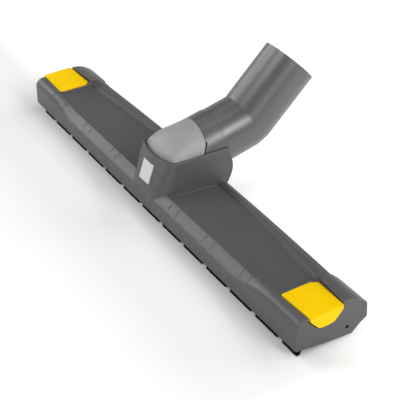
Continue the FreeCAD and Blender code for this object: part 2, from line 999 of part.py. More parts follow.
def cover_grips():
    """Low cross ribs on the bonnet's top, just before the seam."""
    grips = []
    for index in range(grip_count):
        rear = grip_last - index * grip_pitch
        rise = collar_bar(collar_radius + grip_height, -far, 0)
        rise = rise.cut(collar_bar(collar_radius - 1, -far, 0))
        band = box(-grip_half, grip_half, rear - grip_width, rear, cover_spring_height, far)
        grips.append(rise.common(band))
    return grips


def neck_cover():
    """Light grey bonnet with two inner ribs that rest on the drum."""
    form = cover_form()
    shell = form.cut(cover_hollow())
    ribs = []
    for x in (-cover_rib_place, cover_rib_place):
        edge = x - cover_rib_width / 2
        rib = box(edge, edge + cover_rib_width, cover_rib_front, seam_depth, cover_rib_low, far)
        ribs.append(rib.common(form))
    body = joined([shell] + ribs + cover_grips())
    body = body.cut(prism_x(seam_side(0, 0), -far, far))
    body = body.cut(box(-far, far, -far, far, -far, cover_skirt))
    drum = cylinder_x(-drum_half_width, drum_half_width, tilt_depth, tilt_height, drum_radius)
    body = body.cut(drum)
    room = cylinder_x(
        drum_half_width, far, tilt_depth, tilt_height, boss_radius + 2 * boss_gap
    )
    return body.cut(both(room))


# Insert frame and brush strips


def front_carrier_section():
    """Strip body with the tongue that slides in the frame's rail."""
    front = wall + brush_fit
    rear = front + brush_thickness
    return [
        (front, brush_root_height),
        (front, carrier_top),
        (rear, carrier_top),
        (rear, tongue_high),
        (rear + tongue_depth, tongue_high),
        (rear + tongue_depth, tongue_low),
        (rear, tongue_low),
        (rear, brush_root_height),
    ]


def rear_carrier_section():
    """The same strip turned round for the rear rail."""
    rear = rear_brush_depth + brush_thickness
    return [
        (rear, brush_root_height),
        (rear, carrier_top),
        (rear_brush_depth, carrier_top),
        (rear_brush_depth, tongue_high),
        (rear_brush_depth - tongue_depth, tongue_high),
        (rear_brush_depth - tongue_depth, tongue_low),
        (rear_brush_depth, tongue_low),
        (rear_brush_depth, brush_root_height),
    ]


def front_lengths():
    """Ends in X of each short length of the front strip."""
    reach = math.ceil(half_length / brush_pitch) + 1
    gaps = [brush_pattern_centre + (index + 0.5) * brush_pitch for index in range(-reach, reach)]
    low = brush_far_end + brush_least
    high = brush_near_end - brush_least
    gaps = [place for place in gaps if low < place < high]
    starts = [brush_far_end] + [place + brush_gap / 2 for place in gaps]
    ends = [place - brush_gap / 2 for place in gaps] + [brush_near_end]
    return list(zip(starts, ends))


def front_bristles():
    """Bristle blocks of the front strip."""
    front = wall + brush_fit
    inner_face = half_length - wall
    wall_room = box(inner_face - 0.8, far, -far, far, toe_block_height, far)
    blocks = []
    for x0, x1 in front_lengths():
        blocks.append(box(x0, x1, front, front + brush_thickness, 0, brush_root_height).cut(wall_room))
    return Part.Compound([solid for block in blocks for solid in block.Solids])


def front_brush_carrier():
    """Rail of the front strip, up to the near end wall."""
    return prism_x(front_carrier_section(), brush_far_end, half_length - wall - 0.8)


def rear_brush_carrier():
    """Rail of the rear strip, between the rollers."""
    return prism_x(rear_carrier_section(), -rear_brush_half, rear_brush_half)


def rear_bristles():
    """Bristle block of the rear strip."""
    return box(
        -rear_brush_half, rear_brush_half, rear_brush_depth, rear_brush_depth + brush_thickness,
        0, brush_root_height,
    )


def insert_frame():
    """Sole frame: two rails, cross ribs and end plates with the ledges that the hooks hold."""
    front_rail = wall + 2 * brush_fit + brush_thickness
    rear_rail = rear_brush_depth - brush_fit
    flange = carrier_top + brush_fit
    parts = [
        box(-frame_half, frame_half, front_rail, front_rail + frame_rail, frame_bottom, frame_top),
        box(-frame_half, frame_half, wall + 2 * brush_fit, front_rail + 1, flange, frame_top),
        box(-frame_half, frame_half, rear_rail - frame_rail, rear_rail, frame_bottom, frame_top),
        box(-rear_brush_half, rear_brush_half, rear_rail - 1, rear_rail + 1.6, flange, frame_top),
    ]
    for index in range(1, frame_rib_pairs + 1):
        place = index * frame_rib_pitch
        rib = box(place - frame_rib / 2, place + frame_rib / 2, front_rail, rear_rail,
                  frame_bottom + 2, frame_top)
        parts += [rib, mirrored(rib)]
    plate = box(frame_half - frame_rib, frame_half, front_rail, rear_rail, frame_bottom, frame_top)
    ledge = box(frame_half - 1, frame_half + ledge_reach, arm_depth - ledge_half_width,
                arm_depth + ledge_half_width, ledge_bottom, ledge_bottom + ledge_height)
    parts += [plate, mirrored(plate), ledge, mirrored(ledge)]
    frame = joined(parts)
    front_groove = box(-far, far, front_rail - 1, wall + brush_fit + brush_thickness + tongue_depth
                       + brush_fit, tongue_low - brush_fit, tongue_high + brush_fit)
    rear_groove = box(-far, far, rear_brush_depth - tongue_depth - brush_fit, rear_rail + 1,
                      tongue_low - brush_fit, tongue_high + brush_fit)
    frame = frame.cut(front_groove.common(box(-far, far, 0, front_rail + 1.4, 0, far)))
    frame = frame.cut(rear_groove)
    roller = roller_well()
    return frame.cut(roller).cut(mirrored(roller))


# Release keys


def key():
    """Right key: plate, tongue, barrel and hook arm in one moulding."""
    inner_x = half_length - key_length
    outer_x = half_length + 0.4
    inner = [
        (key_front_depth, key_inner_height - key_thickness),
        (key_front_depth, key_inner_height),
        (blend(key_front_depth, key_inner_rear_depth, 0.5), key_inner_height + 0.9,
         key_inner_rear_depth, key_inner_rear_height),
        (key_inner_rear_depth, key_inner_rear_height - key_thickness),
    ]
    outer = [
        (key_front_depth, key_outer_height - key_thickness),
        (key_front_depth, key_outer_height),
        (blend(key_front_depth, key_rear_depth, 0.5), key_outer_height + 1.2,
         key_rear_depth, key_outer_rear_height),
        (key_rear_depth, key_outer_rear_height - key_thickness),
    ]
    form = Part.makeLoft([outline(inner, inner_x), outline(outer, outer_x)], True, True)
    plan_points = key_plan(0)
    plan_points[1] = (outer_x, key_front_depth)
    plan_points[2] = (outer_x, key_rear_depth)
    plate = form.common(plan(plan_points, 0, far))
    tongue_inner = half_length - end_recess + tongue_gap
    tongue_outer = tongue_inner + tongue_thickness
    tongue = prism_x(tongue_outline(0), tongue_inner, tongue_outer)
    cap = [outline(outer, tongue_inner - 0.5), outline(outer, tongue_outer)]
    under = box(tongue_inner, tongue_outer, 0, far, 0, key_outer_height - 1)
    tongue = tongue.common(Part.makeLoft(cap, True, True).fuse(under))
    pivot = half_length - pivot_inset
    barrel = Part.makeCylinder(
        barrel_radius, key_rear_depth - key_front_depth, V(pivot, at(key_front_depth), pivot_height),
        V(0, 1, 0),
    )
    web = box(pivot - 1, pivot + 1, key_front_depth, key_rear_depth, pivot_height,
              key_outer_height - key_thickness + 0.4)
    nose_top = ledge_bottom - nose_gap
    nose_low = nose_top - nose_height
    arm = box(pivot - arm_thickness / 2, pivot + arm_thickness / 2, arm_depth - arm_width / 2,
              arm_depth + arm_width / 2, nose_low, pivot_height)
    tip = frame_half + ledge_reach - nose_reach + nose_gap * 2
    nose = box(tip, pivot, arm_depth - arm_width / 2, arm_depth + arm_width / 2, nose_low, nose_top)
    body = joined([plate, tongue, barrel, web, arm, nose])
    return body.cut(pin_bar(pin_radius + pin_clearance, 1.0))


def key_pin():
    """Hinge pin of the right key."""
    return pin_bar(pin_radius, 0)


def key_spring():
    """Bowed leaf spring under the right key, from the pocket's floor to the plate."""
    middle = half_length - spring_inset
    share = (spring_depth - key_front_depth) / (key_inner_rear_depth - key_front_depth)
    inner_level = blend(key_inner_height, key_inner_rear_height, share)
    outer_level = blend(key_outer_height, key_outer_rear_height, share)
    level = blend(outer_level, inner_level, (half_length - middle) / key_length) - key_thickness
    half = spring_length / 2
    low = pocket_floor
    top = level - spring_gap
    wide = at(spring_depth - spring_width / 2)
    points = [
        V(middle - half, wide, low),
        V(middle, wide, top),
        V(middle + half, wide, low),
        V(middle + half - spring_wire * 2, wide, low),
        V(middle, wide, top - spring_wire),
        V(middle - half + spring_wire * 2, wide, low),
    ]
    edges = [
        Part.Arc(points[0], points[1], points[2]).toShape(),
        Part.LineSegment(points[2], points[3]).toShape(),
        Part.Arc(points[3], points[4], points[5]).toShape(),
        Part.LineSegment(points[5], points[0]).toShape(),
    ]
    return Part.Face(Part.Wire(edges)).extrude(V(0, spring_width, 0))


# Rollers


def roller():
    """Right roller with its bore."""
    x1 = half_length - roller_inset
    x0 = x1 - roller_length
    body = cylinder_x(x0, x1, roller_depth, roller_radius, roller_radius)
    bore = axle_radius + axle_clearance
    return body.cut(cylinder_x(x0 - 1, x1 + 1, roller_depth, roller_radius, bore))


def roller_axle():
    """Axle of the right roller, sunk a little in the end face."""
    return axle_bar(axle_radius, half_length - axle_hole_depth)


def label_plate():
    """Bare plate in the recess on the neck's front."""
    return label_frame(label_width, label_height, -label_proud, label_thickness - label_proud)


def write(name, shape):
    """Write one node."""
    if not shape.isValid():
        print("not valid:", name)
    print(name, len(shape.Solids), round(shape.Volume, 1))
    shape.exportStep("parts/" + name + ".step")


def main():
    os.makedirs("parts", exist_ok=True)
    write("housing", housing())
    write("neck_cover", neck_cover())
    write("knuckle", knuckle())
    write("swivel_ring", swivel_ring())
    write("swivel_seal", swivel_seal())
    write("elbow", elbow())
    write("tilt_seal_front", tilt_seal(front_seal_start))
    write("tilt_seal_rear", tilt_seal(rear_seal_start))
    write("insert_frame", insert_frame())
    write("front_brush_carrier", front_brush_carrier())
    write("front_bristles", front_bristles())
    write("rear_brush_carrier", rear_brush_carrier())
    write("rear_bristles", rear_bristles())
    for name, shape in (
        ("key", key()),
        ("key_pin", key_pin()),
        ("key_spring", key_spring()),
        ("roller", roller()),
        ("roller_axle", roller_axle()),
    ):
        write(name + "_right", shape)
        write(name + "_left", mirrored(shape))
    write("label_plate", label_plate())


main()
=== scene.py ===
import json
import math
import random

import bmesh
import bpy
from mathutils import Matrix, Vector


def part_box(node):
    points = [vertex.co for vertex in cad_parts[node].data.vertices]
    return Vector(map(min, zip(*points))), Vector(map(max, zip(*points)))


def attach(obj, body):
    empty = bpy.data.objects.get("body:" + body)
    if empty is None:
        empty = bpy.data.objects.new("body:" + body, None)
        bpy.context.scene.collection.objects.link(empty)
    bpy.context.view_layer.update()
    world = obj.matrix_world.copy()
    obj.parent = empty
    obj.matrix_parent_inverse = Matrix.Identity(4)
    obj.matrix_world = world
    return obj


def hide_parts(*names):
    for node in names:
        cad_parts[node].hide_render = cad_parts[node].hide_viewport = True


# Looks of the vacuum floor brush head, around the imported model. Metres, in the model's own frame.

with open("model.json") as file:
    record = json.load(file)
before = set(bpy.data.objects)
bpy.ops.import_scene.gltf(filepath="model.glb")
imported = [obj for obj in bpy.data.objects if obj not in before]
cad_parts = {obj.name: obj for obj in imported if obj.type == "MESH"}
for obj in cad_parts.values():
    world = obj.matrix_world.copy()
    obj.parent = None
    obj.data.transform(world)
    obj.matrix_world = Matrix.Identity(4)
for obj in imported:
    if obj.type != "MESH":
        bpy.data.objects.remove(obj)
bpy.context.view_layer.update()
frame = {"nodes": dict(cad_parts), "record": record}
record = frame["record"]
random.seed(7)


def placed(name, data):
    """New object with this data, linked to the scene."""
    item = bpy.data.objects.new(name, data)
    bpy.context.scene.collection.objects.link(item)
    return item


def blend(start, end, share):
    """Value between two, by share."""
    return start + (end - start) * share


# Colours, in linear light

GREY = (0.068, 0.068, 0.069, 1.0)
TUBE_GREY = (0.076, 0.076, 0.077, 1.0)
COVER_GREY = (0.255, 0.253, 0.247, 1.0)
KEY_YELLOW = (0.80, 0.51, 0.0, 1.0)
LABEL_WHITE = (0.56, 0.56, 0.53, 1.0)
CARRIER_BLACK = (0.006, 0.006, 0.006, 1.0)
BRISTLE_BLACK = (0.004, 0.004, 0.004, 1.0)
TIP_BLACK = (0.006, 0.006, 0.006, 1.0)
FLOOR_WHITE = (0.76, 0.76, 0.76, 1.0)
WHITE = (1.0, 1.0, 1.0, 1.0)


def srgb(red, green, blue):
    """Linear colour of a screen colour given from 0 to 255."""
    values = []
    for value in (red, green, blue):
        share = value / 255
        values.append(share / 12.92 if share <= 0.04045 else ((share + 0.055) / 1.055) ** 2.4)
    return (*values, 1.0)


def tinted(colour, factor, lift=0.0):
    """Colour made darker or lighter by a factor, then lifted."""
    return tuple(min(1.0, part * factor + lift) for part in colour[:3]) + (1.0,)


# Nodes that the materials share. Reaches and heights are in metres, scales in cells to the metre.

BEVEL_SAMPLES = 6
EDGE_ALIGNMENT = 0.80
FLAT_ALIGNMENT = 0.99
NOISE_LOW = 0.35
NOISE_HIGH = 0.65
GRAIN_HEIGHT = 0.00012
GRAIN_DETAIL = 3.0


def new_material(name):
    """Empty node material with its shader and output."""
    material = bpy.data.materials.new(name)
    material.use_nodes = True
    nodes = material.node_tree.nodes
    nodes.clear()
    output = nodes.new("ShaderNodeOutputMaterial")
    shader = nodes.new("ShaderNodeBsdfPrincipled")
    material.node_tree.links.new(shader.outputs["BSDF"], output.inputs["Surface"])
    return material, shader


def object_place(material):
    """Place on the piece, in metres."""
    return material.node_tree.nodes.new("ShaderNodeTexCoord").outputs["Object"]


def split_place(material):
    """Place on the piece as X, Y and Z by themselves."""
    split = material.node_tree.nodes.new("ShaderNodeSeparateXYZ")
    material.node_tree.links.new(object_place(material), split.inputs["Vector"])
    return split.outputs


def noise(material, scale, detail, stretch=None):
    """Noise over the piece, stretched along the axes where that is given."""
    tree = material.node_tree
    texture = tree.nodes.new("ShaderNodeTexNoise")
    texture.inputs["Scale"].default_value = scale
    texture.inputs["Detail"].default_value = detail
    place = object_place(material)
    if stretch:
        mapping = tree.nodes.new("ShaderNodeMapping")
        mapping.inputs["Scale"].default_value = stretch
        tree.links.new(place, mapping.inputs["Vector"])
        place = mapping.outputs["Vector"]
    tree.links.new(place, texture.inputs["Vector"])
    return texture.outputs["Fac"]


def ramp(material, source, low, high, from_low=NOISE_LOW, from_high=NOISE_HIGH):
    """Source mapped between two values."""
    tree = material.node_tree
    node = tree.nodes.new("ShaderNodeMapRange")
    node.inputs["From Min"].default_value = from_low
    node.inputs["From Max"].default_value = from_high
    node.inputs["To Min"].default_value = low
    node.inputs["To Max"].default_value = high
    tree.links.new(source, node.inputs["Value"])
    return node.outputs["Result"]


def mixed(material, share, first, second):
    """Colour between two, by a share from 0 to 1."""
    tree = material.node_tree
    node = tree.nodes.new("ShaderNodeMix")
    node.data_type = "RGBA"
    tree.links.new(share, node.inputs["Factor"])
    for socket, value in ((node.inputs["A"], first), (node.inputs["B"], second)):
        if isinstance(value, tuple):
            socket.default_value = value
        else:
            tree.links.new(value, socket)
    return node.outputs["Result"]


def larger(material, first, second):
    """The larger of two values."""
    tree = material.node_tree
    node = tree.nodes.new("ShaderNodeMath")
    node.operation = "MAXIMUM"
    tree.links.new(first, node.inputs[0])
    tree.links.new(second, node.inputs[1])
    return node.outputs["Value"]


def bevelled_normal(material, reach):
    """Normal that turns softly over the edges."""
    bevel = material.node_tree.nodes.new("ShaderNodeBevel")
    bevel.samples = BEVEL_SAMPLES
    bevel.inputs["Radius"].default_value = reach
    return bevel.outputs["Normal"]


def edge_share(material, reach):
    """1 on the edges and 0 on the flats, from the bevelled normal."""
    tree = material.node_tree
    geometry = tree.nodes.new("ShaderNodeNewGeometry")
    dot = tree.nodes.new("ShaderNodeVectorMath")
    dot.operation = "DOT_PRODUCT"
    tree.links.new(bevelled_normal(material, reach), dot.inputs[0])
    tree.links.new(geometry.outputs["Normal"], dot.inputs[1])
    return ramp(material, dot.outputs["Value"], 1.0, 0.0, EDGE_ALIGNMENT, FLAT_ALIGNMENT)


def surface_relief(material, shader, grain_scale, grain, bevel_radius):
    """Fine grain, and softened edges where a bevel is given."""
    tree = material.node_tree
    bump = tree.nodes.new("ShaderNodeBump")
    bump.inputs["Strength"].default_value = grain
    bump.inputs["Distance"].default_value = GRAIN_HEIGHT
    tree.links.new(noise(material, grain_scale, GRAIN_DETAIL), bump.inputs["Height"])
    if bevel_radius:
        tree.links.new(bevelled_normal(material, bevel_radius), bump.inputs["Normal"])
    tree.links.new(bump.outputs["Normal"], shader.inputs["Normal"])


# Materials

PLASTIC_GRAIN_SCALE = 2600.0
MOTTLE_SCALE = 55.0
MOTTLE_DETAIL = 4.0
SHEEN_SCALE = 420.0
SHEEN_DETAIL = 3.0
# Painted edge highlight: how far its colour is lifted
EDGE_HIGHLIGHT_LIFT = 0.01
STEEL_GRAIN_SCALE = 1500.0
STEEL_GRAIN = 0.15
STEEL_BEVEL = 0.0002
STEEL_SHADE = 0.8
DRAWN_SCALE = 900.0
DRAWN_DETAIL = 2.0
DRAWN_STRETCH = (1.0, 0.06, 1.0)
DRAWN_ROUGHNESS_CHANGE = (-0.06, 0.08)
FILAMENT_SCALE = 1400.0
FILAMENT_DETAIL = 1.0
FILAMENT_STRETCH = (1.0, 1.0, 0.02)
FILAMENT_SHADE = 0.6
FILAMENT_ROUGHNESS = (0.6, 0.8)
FILAMENT_GLOSS = 0.12
TIP_LENGTH = 0.0012


def plastic(name, colour, rough, grain=0.25, bevel_radius=0.0006, gloss=0.5, spread=0.03, edge=0.25,
            uneven=0.05):
    """Moulded plastic with a fine grain, a little mottle and a painted highlight on its edges."""
    material, shader = new_material(name)
    tree = material.node_tree
    patches = ramp(material, noise(material, MOTTLE_SCALE, MOTTLE_DETAIL), 0.0, 1.0)
    base = mixed(material, patches, tinted(colour, 1 - spread), tinted(colour, 1 + spread))
    # Painted highlight: the edges are made lighter, standing in for the light they catch.
    if bevel_radius:
        painted_edge_highlight = tinted(colour, 1 + edge, EDGE_HIGHLIGHT_LIFT * edge)
        base = mixed(material, edge_share(material, bevel_radius), base, painted_edge_highlight)
    tree.links.new(base, shader.inputs["Base Color"])
    sheen = noise(material, SHEEN_SCALE, SHEEN_DETAIL)
    tree.links.new(ramp(material, sheen, rough - uneven, rough + uneven), shader.inputs["Roughness"])
    shader.inputs["Specular IOR Level"].default_value = gloss
    surface_relief(material, shader, PLASTIC_GRAIN_SCALE, grain, bevel_radius)
    return material


def steel(name, colour, rough):
    """Drawn or rolled steel with fine lines along it."""
    material, shader = new_material(name)
    tree = material.node_tree
    lines = noise(material, DRAWN_SCALE, DRAWN_DETAIL, DRAWN_STRETCH)
    base = mixed(material, ramp(material, lines, 0.0, 1.0), tinted(colour, STEEL_SHADE), colour)
    tree.links.new(base, shader.inputs["Base Color"])
    smoothest, roughest = (rough + change for change in DRAWN_ROUGHNESS_CHANGE)
    tree.links.new(ramp(material, lines, smoothest, roughest), shader.inputs["Roughness"])
    shader.inputs["Metallic"].default_value = 1.0
    surface_relief(material, shader, STEEL_GRAIN_SCALE, STEEL_GRAIN, STEEL_BEVEL)
    return material


def filaments(name, colour, tip):
    """Nylon bristle: each filament a little different, paler at its tip."""
    material, shader = new_material(name)
    tree = material.node_tree
    shade = noise(material, FILAMENT_SCALE, FILAMENT_DETAIL, FILAMENT_STRETCH)
    body = mixed(material, ramp(material, shade, 0.0, 1.0), tinted(colour, FILAMENT_SHADE), colour)
    end = ramp(material, split_place(material)["Z"], 1.0, 0.0, 0.0, TIP_LENGTH)
    tree.links.new(mixed(material, end, body, tip), shader.inputs["Base Color"])
    tree.links.new(ramp(material, shade, *FILAMENT_ROUGHNESS), shader.inputs["Roughness"])
    shader.inputs["Specular IOR Level"].default_value = FILAMENT_GLOSS
    return material


# The edge argument sets how strong each material's painted edge highlight is.
materials = {
    "housing_grey": plastic("moulded_grey", GREY, 0.42, bevel_radius=0.0009, edge=0.9),
    "collar_grey": plastic("collar_grey", TUBE_GREY, 0.36, grain=0.05, edge=0.15, gloss=0.75, uneven=0.015),
    "cover_grey": plastic("cover_grey", COVER_GREY, 0.48, spread=0.02, edge=0.12),
    "elbow_grey": plastic("elbow_grey", TUBE_GREY, 0.34, grain=0.02, bevel_radius=0.0, gloss=0.8,
                          spread=0.01, uneven=0.01),
    "key_yellow": plastic("key_yellow", KEY_YELLOW, 0.42, grain=0.15, edge=0.1, gloss=0.10,
                          bevel_radius=0.0007),
    "frame_black": plastic("frame_black", srgb(44, 44, 45), 0.5),
    "carrier_black": plastic("carrier_black", CARRIER_BLACK, 0.6, gloss=0.2),
    "bristle_black": filaments("bristle_black", BRISTLE_BLACK, TIP_BLACK),
    "roller_black": plastic("roller_black", srgb(48, 48, 49), 0.55, grain=0.4),
    "ring_white": plastic("ring_white", srgb(200, 198, 190), 0.4),
    "seal_black": plastic("seal_black", srgb(24, 24, 24), 0.65, grain=0.3, bevel_radius=0.0002),
    "pin_steel": steel("pin_steel", srgb(190, 190, 192), 0.3),
    "spring_steel": steel("spring_steel", srgb(172, 174, 180), 0.34),
    "label_white": plastic("label_white", LABEL_WHITE, 0.35, grain=0.08, spread=0.02, edge=0.0,
                           bevel_radius=0.0003),
}


# Imported pieces: their materials, and smooth surfaces between sharp edges

# Painted shade: the roller axles take the near-black carrier material, so the holes in the end faces look
# as dark as their shade.
HOLE_SHADE_NODES = ("roller_axle_left", "roller_axle_right")
MERGE_REACH = 3e-5
SHARP_ANGLE = math.radians(24)

slot_of = {part["node"]: part["material_slot"] for part in record["subparts"]}


def smooth_group():
    """Modifier tree that joins the model's loose corners and smooths all but its sharp edges."""
    group = bpy.data.node_groups.new("smooth_by_angle", "GeometryNodeTree")
    group.interface.new_socket("Geometry", in_out="INPUT", socket_type="NodeSocketGeometry")
    group.interface.new_socket("Geometry", in_out="OUTPUT", socket_type="NodeSocketGeometry")
    nodes = group.nodes
    links = group.links
    source = nodes.new("NodeGroupInput")
    target = nodes.new("NodeGroupOutput")
    merge = nodes.new("GeometryNodeMergeByDistance")
    merge.inputs["Distance"].default_value = MERGE_REACH
    angle = nodes.new("GeometryNodeInputMeshEdgeAngle")
    sharp = nodes.new("FunctionNodeCompare")
    sharp.data_type = "FLOAT"
    sharp.operation = "GREATER_THAN"
    sharp.inputs["B"].default_value = SHARP_ANGLE
    faces = nodes.new("GeometryNodeSetShadeSmooth")
    faces.domain = "FACE"
    edges = nodes.new("GeometryNodeSetShadeSmooth")
    edges.domain = "EDGE"
    edges.inputs["Shade Smooth"].default_value = False
    links.new(angle.outputs["Unsigned Angle"], sharp.inputs["A"])
    links.new(source.outputs[0], merge.inputs["Geometry"])
    links.new(merge.outputs["Geometry"], faces.inputs["Geometry"])
    links.new(faces.outputs["Geometry"], edges.inputs["Geometry"])
    links.new(sharp.outputs["Result"], edges.inputs["Selection"])
    links.new(edges.outputs["Geometry"], target.inputs[0])
    return group


def dress(piece, material):
    """One material and the smoothing on a piece."""
    piece.data.materials.clear()
    piece.data.materials.append(material)
    piece.modifiers.new("smooth", "NODES").node_group = smooth


smooth = smooth_group()
for name, node in frame["nodes"].items():
    dress(node, materials["carrier_black" if name in HOLE_SHADE_NODES else slot_of[name]])


# Top of the housing and toe of the neck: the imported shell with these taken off, and closer forms put on.
# Depths are measured back from the front face and heights up from the floor, in millimetres.

MM = 0.001
FRONT_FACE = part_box("housing")[0].y
HEAD_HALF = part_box("housing")[1].x / MM
WELD_REACH = 2e-6
FAR = 80.0

# Stretch of the head between its end blocks
MID_END = HEAD_HALF - 32.0
TOP_END = HEAD_HALF - 33.5
RISE_LENGTH = 42.0
SHELL_REAR = 56.6
REAR_BOW = 3.0
REAR_FOOT = 11.6

# Skin that is put on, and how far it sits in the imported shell
SKIN = 1.7
SEAT = 0.5
SEAM = 0.02
LAP = 0.1

# Front band, in the middle and at its ends: foot, crest and the bulge between them as shares of both
BAND_FOOT = 17.6
BAND_END_FOOT = 20.5
BAND_DEPTH = 7.3
BAND_END_DEPTH = 7.7
BAND_HEIGHT = 23.2
BAND_END_HEIGHT = 27.1
BULGE_DEPTH = 0.47
BULGE_END_DEPTH = 0.33
BULGE_HEIGHT = 0.54
BULGE_END_HEIGHT = 0.695

# Steps along the band, and the point over which the skin's inside starts
BAND_STEPS = 8
INNER_START = 3

# Trough behind the band
LIP = 1.1
END_LIP = 2.4
TROUGH_FRONT = 21.6
TROUGH_REAR = 20.0
TROUGH_END_RISE = 3.0
TROUGH_POINT = BAND_STEPS + 1

# Rear ridge
RIDGE_DEPTH = 50.8
RIDGE_BOW = 11.0
RIDGE_STEP = 1.7
RIDGE_STEP_DEPTH = 1.0
RIDGE_CREST = 1.2
RIDGE_CREST_SHARE = 0.3
RIDGE_SLOPE_SHARE = 0.72
RIDGE_REAR_HEIGHT = 17.8
RIDGE_REAR_LEAN = 0.3

# Toe of the neck, between its base and its top
NECK_HALF = 24.7
NECK_SIDE = NECK_HALF + SEAM
NECK_LEAN = 1 / 3
NECK_FRONT = 0.4
NECK_FRONT_LEVEL = 26.0
NECK_BASE = 14.0
NECK_TOP = 54.0
NECK_CORNER_BASE = 17.5
NECK_CORNER_TOP = 7.2
NECK_SAGITTA_BASE = 0.4
NECK_SAGITTA_TOP = 3.2
NECK_WALL = 2.2
NECK_OPENING_WALL = NECK_WALL * 0.7
RIM_FRONT = 47.3
RIM_SLOPE = 0.03
TOE_REAR = 23.0
HOLLOW_REAR = TOE_REAR + 3
HOLLOW_BASE = 10.0
HOLLOW_TOP = NECK_TOP + 2

# Blocks that cut, each a little larger than what it cuts
ROOM_FRONT = -2
ROOM_REAR = 5
GROOVE_ROOM = 6
TRIM_HALF = NECK_HALF + 3
RIM_TRIM = (-6, TOE_REAR + 2)
FRONT_TRIM = (-9, 0)

# Steps of the rounded forms
SIDE_STEPS = 22
FRONT_STEPS = 6
TOE_STEPS = 14
CORNER_STEPS = 12
FLAT_STEPS = 4

# Pairs of grooves across the band
GROOVE_PAIRS = range(-3, 4)
GROOVE_PITCH = 48.0
GROOVE_OFFSET = -8.0
GROOVE_PAIR = 10.5
GROOVE_WIDTH = 0.8
GROOVE_DEPTH = 0.35
GROOVE_START = 1.0
GROOVE_END = 0.4


def spot(x, depth, height):
    """Point of the head from its millimetres."""
    return Vector((x, FRONT_FACE / MM + depth, height))


def through(start, middle, end, share):
    """Value of the parabola that passes through three values at even steps."""
    first = (1 - share) * (1 - 2 * share) * start
    second = 4 * share * (1 - share) * middle
    third = share * (2 * share - 1) * end
    return first + second + third


def top_line(x):
    """Line across the head's top at one X: band, trough and ridge."""
    along = abs(x) / MID_END
    reach = max(0.0, (abs(x) - (MID_END - RISE_LENGTH)) / RISE_LENGTH)
    rise = reach * reach * (3 - 2 * reach)
    foot = blend(BAND_FOOT, BAND_END_FOOT, rise)
    crest = blend(BAND_DEPTH, BAND_END_DEPTH, rise)
    crest_height = blend(BAND_HEIGHT, BAND_END_HEIGHT, rise)
    bulge = crest * blend(BULGE_DEPTH, BULGE_END_DEPTH, rise)
    bulge_height = blend(foot, crest_height, blend(BULGE_HEIGHT, BULGE_END_HEIGHT, rise))
    lift = TROUGH_END_RISE * along**2
    ridge = RIDGE_DEPTH - RIDGE_BOW * along**2
    ridge_top = ridge + RIDGE_STEP_DEPTH
    rear = SHELL_REAR + REAR_BOW * (1 - along**2)
    step = TROUGH_REAR + lift + RIDGE_STEP
    crest_line = step + RIDGE_CREST
    points = []
    for index in range(BAND_STEPS + 1):
        share = index / BAND_STEPS
        points.append((through(0, bulge, crest, share), through(foot, bulge_height, crest_height, share)))
    points.append((crest + blend(LIP, END_LIP, rise), TROUGH_FRONT + lift))
    points.append((ridge, TROUGH_REAR + lift))
    points.append((ridge_top, step))
    points.append((blend(ridge_top, rear, RIDGE_CREST_SHARE), crest_line))
    slope_height = blend(RIDGE_REAR_HEIGHT, crest_line, RIDGE_SLOPE_SHARE)
    points.append((blend(ridge_top, rear, RIDGE_SLOPE_SHARE), slope_height))
    points.append((rear - RIDGE_REAR_LEAN, RIDGE_REAR_HEIGHT))
    return points


def front_line(x, deepest):
    """The top line as far as a depth in the trough."""
    line = top_line(x)
    front, rear = line[TROUGH_POINT:TROUGH_POINT + 2]
    level = blend(front[1], rear[1], (deepest - front[0]) / (rear[0] - front[0]))
    return line[:TROUGH_POINT + 1] + [(deepest, level)]


def stations(start, end, count):
    """Places along the head, from one to another."""
    return [blend(start, end, index / count) for index in range(count + 1)]


def solid(name, rings):
    """Closed body through rings of as many points each."""
    mesh = bmesh.new()
    loops = [[mesh.verts.new(point) for point in ring] for ring in rings]
    count = len(loops[0])
    for low, high in zip(loops, loops[1:]):
        for index in range(count):
            after = (index + 1) % count
            mesh.faces.new((low[index], low[after], high[after], high[index]))
    mesh.faces.new(list(reversed(loops[0])))
    mesh.faces.new(loops[-1])
    bmesh.ops.triangulate(mesh, faces=mesh.faces)
    bmesh.ops.recalc_face_normals(mesh, faces=mesh.faces)
    data = bpy.data.meshes.new(name)
    mesh.to_mesh(data)
    mesh.free()
    return placed(name, data)


def worked(piece, other, operation):
    """Another body joined to the piece or cut from it. The other is used up."""
    modifier = piece.modifiers.new("work", "BOOLEAN")
    modifier.operation = operation
    modifier.solver = "MANIFOLD"
    modifier.object = other
    graph = bpy.context.evaluated_depsgraph_get()
    result = bpy.data.meshes.new_from_object(piece.evaluated_get(graph))
    piece.modifiers.clear()
    piece.data = result
    bpy.data.objects.remove(other)


def top_skin(name, start, end, count, deepest=None):
    """Skin of the head's top over a stretch, to its rear face or to a depth."""
    rings = []
    for x in stations(start, end, count):
        if deepest is None:
            line = top_line(x)
            rear, height = line[-1]
            seated = height - SEAT
            last = [(rear + RIDGE_REAR_LEAN * SEAT / (height - REAR_FOOT), seated), (rear - SKIN, seated)]
        else:
            line = front_line(x, deepest)
            last = [(deepest, line[-1][1] - SKIN)]
        foot = line[0][1] - SEAT
        inner = [(depth, height - SKIN) for depth, height in reversed(line[INNER_START:-1])]
        shape = [(0, foot)] + line + last + inner + [(SKIN, foot)]
        rings.append([spot(x, depth, height) for depth, height in shape])
    return solid(name, rings)


def top_room(name, start, end, count, deepest=None):
    """All that stands above the skin's seat over a stretch."""
    rings = []
    for x in stations(start, end, count):
        line = top_line(x) if deepest is None else front_line(x, deepest)
        foot = line[0][1] - SEAT
        shape = [(ROOM_FRONT, foot), (0, foot)]
        shape += [(depth, height - SEAT) for depth, height in line[1:]]
        rear = deepest
        if deepest is None:
            rear = line[-1][0] + ROOM_REAR
            shape.append((rear, line[-1][1] - SEAT))
        shape += [(rear, FAR), (ROOM_FRONT, FAR)]
        rings.append([spot(x, depth, height) for depth, height in shape])
    return solid(name, rings)


